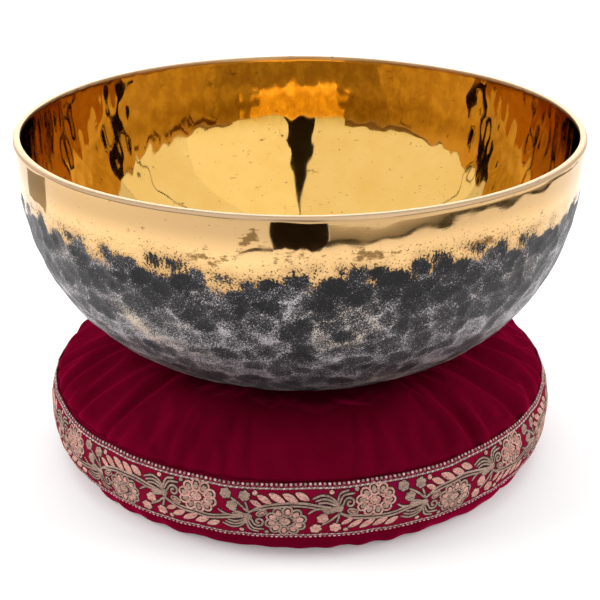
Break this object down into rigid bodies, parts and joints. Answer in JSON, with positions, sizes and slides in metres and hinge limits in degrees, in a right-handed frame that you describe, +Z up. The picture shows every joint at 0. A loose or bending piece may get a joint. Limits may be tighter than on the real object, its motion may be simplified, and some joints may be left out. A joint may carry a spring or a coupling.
{
  "type": "singing bowl on a cushion",
  "caption": "Large hand-hammered bronze singing bowl resting on a round stuffed velvet cushion with a woven floral ribbon round its side; the bowl lifts off.",
  "frame": {"origin": "centre of the cushion's underside, on the surface that the set stands on", "axes": "+Z up along the common axis of the cushion and the bowl, -Y towards the front, +Y towards the ribbon's overlap and the hand-closed filling slit"},
  "size_m": [0.35, 0.3498, 0.212],
  "materials": {
    "bell_bronze": "hammered, ground bright under the lip and dark-patinated below",
    "velvet": "crimson velvet pile with a grazing sheen",
    "brocade": "woven ribbon with a raised floral figure in pink and grey thread",
    "thread": "twisted sewing thread",
    "stuffing": "loose kapok fibre"
  },
  "bodies": {
    "cushion": {"top_cover": "velvet", "side_band": "velvet", "base_cover": "velvet", "filling": "stuffing", "brocade_ribbon": "brocade", "ribbon_upper_thread": "thread", "ribbon_lower_thread": "thread", "top_seam_thread": "thread", "base_seam_thread": "thread", "ribbon_end_stitches": "thread", "closing_stitches": "thread"},
    "bowl": {"bowl": "bell_bronze"}
  },
  "joints": [
    {"name": "bowl_lift", "type": "slide", "parent": "cushion", "child": "bowl", "axis": [0, 0, 1], "range_m": [0, 0.25]}
  ]
}
